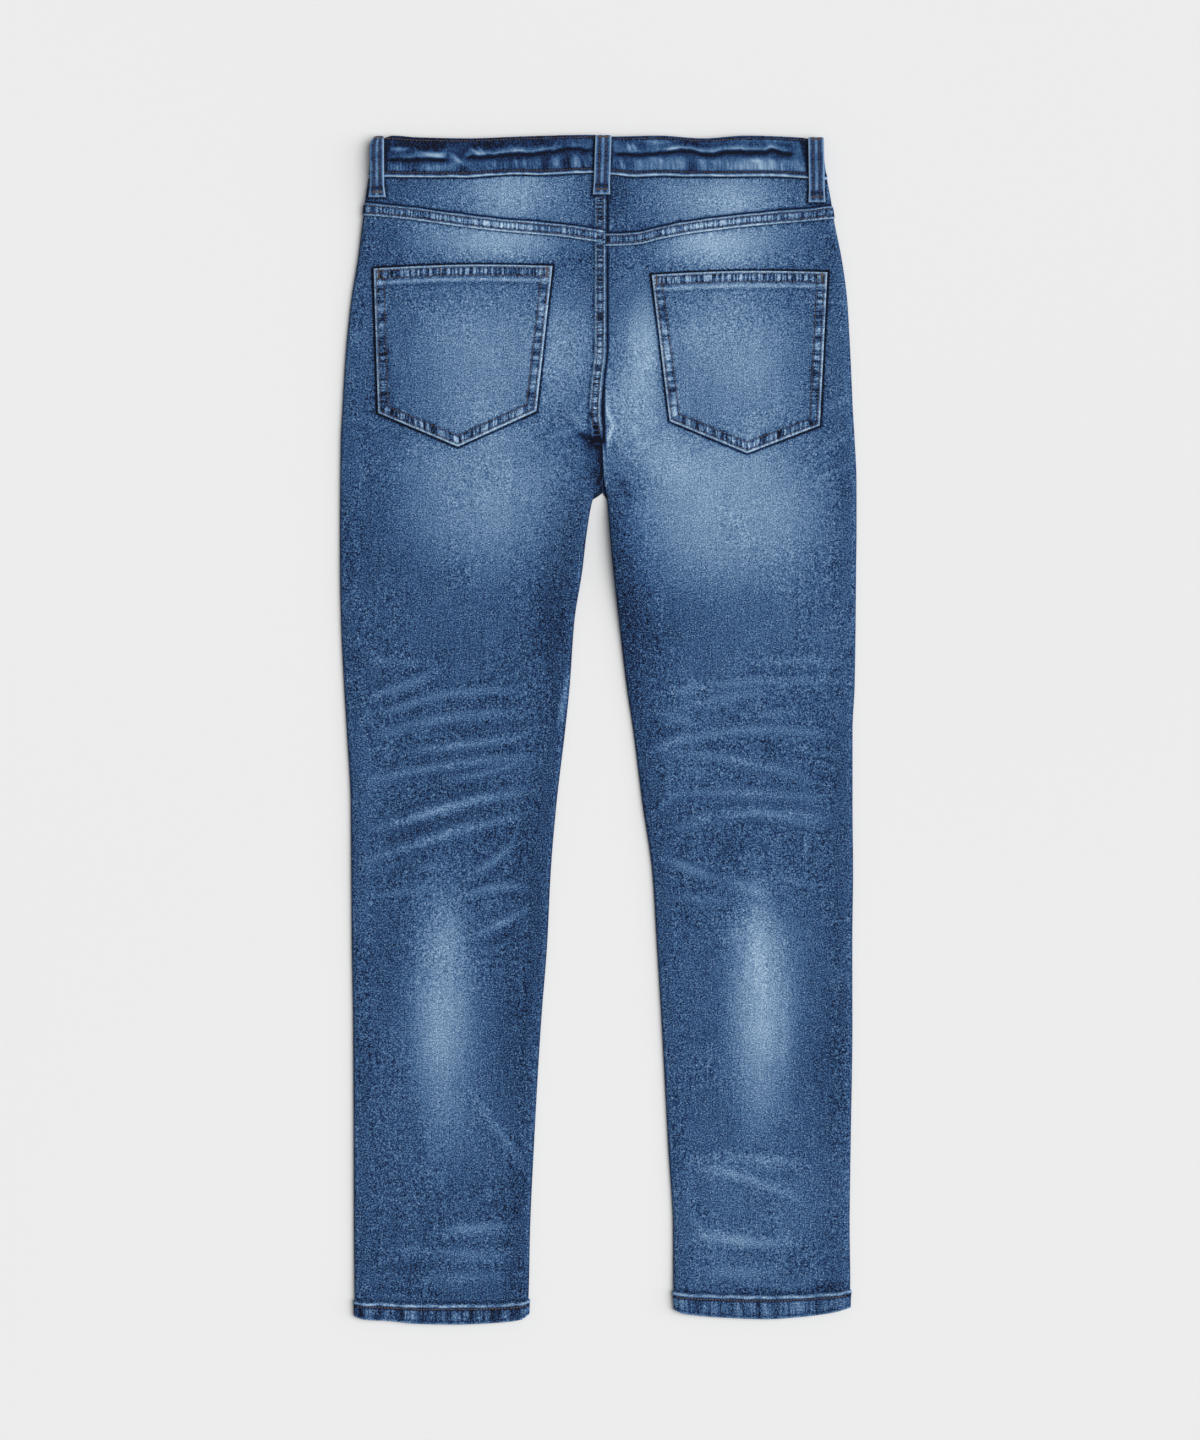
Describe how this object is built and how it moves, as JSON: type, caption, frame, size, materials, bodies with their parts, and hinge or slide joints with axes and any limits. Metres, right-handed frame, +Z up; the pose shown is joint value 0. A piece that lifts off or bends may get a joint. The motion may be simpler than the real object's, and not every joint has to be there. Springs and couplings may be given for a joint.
{
  "type": "skinny jeans",
  "caption": "Slim tapered jeans laid flat with the back up: yoke, patch pockets, waistband with belt loops, creased knees and stitched hems.",
  "frame": {"origin": "on the surface the jeans lie on, under the middle of their outline", "axes": "+Y towards the waist, +X towards the wearer's right leg, +Z up out of the garment's back, away from the surface it lies on"},
  "size_m": [0.4647, 1.0689, 0.0116],
  "materials": {
    "denim": "faded mid-blue stretch denim, matt",
    "waistband_denim": "darker indigo stretch denim with worn edges, matt",
    "button_metal": "aged brass, satin"
  },
  "bodies": {
    "root": {"front_leg_left": "denim", "front_leg_right": "denim", "back_leg_left": "denim", "back_leg_right": "denim", "yoke_left": "denim", "yoke_right": "denim", "back_pocket_left": "denim", "back_pocket_right": "denim", "waistband": "waistband_denim", "belt_loop_left": "waistband_denim", "belt_loop_centre": "waistband_denim", "belt_loop_right": "waistband_denim", "front_belt_loop_left": "waistband_denim", "front_belt_loop_right": "waistband_denim", "waist_button": "button_metal"}
  },
  "joints": []
}
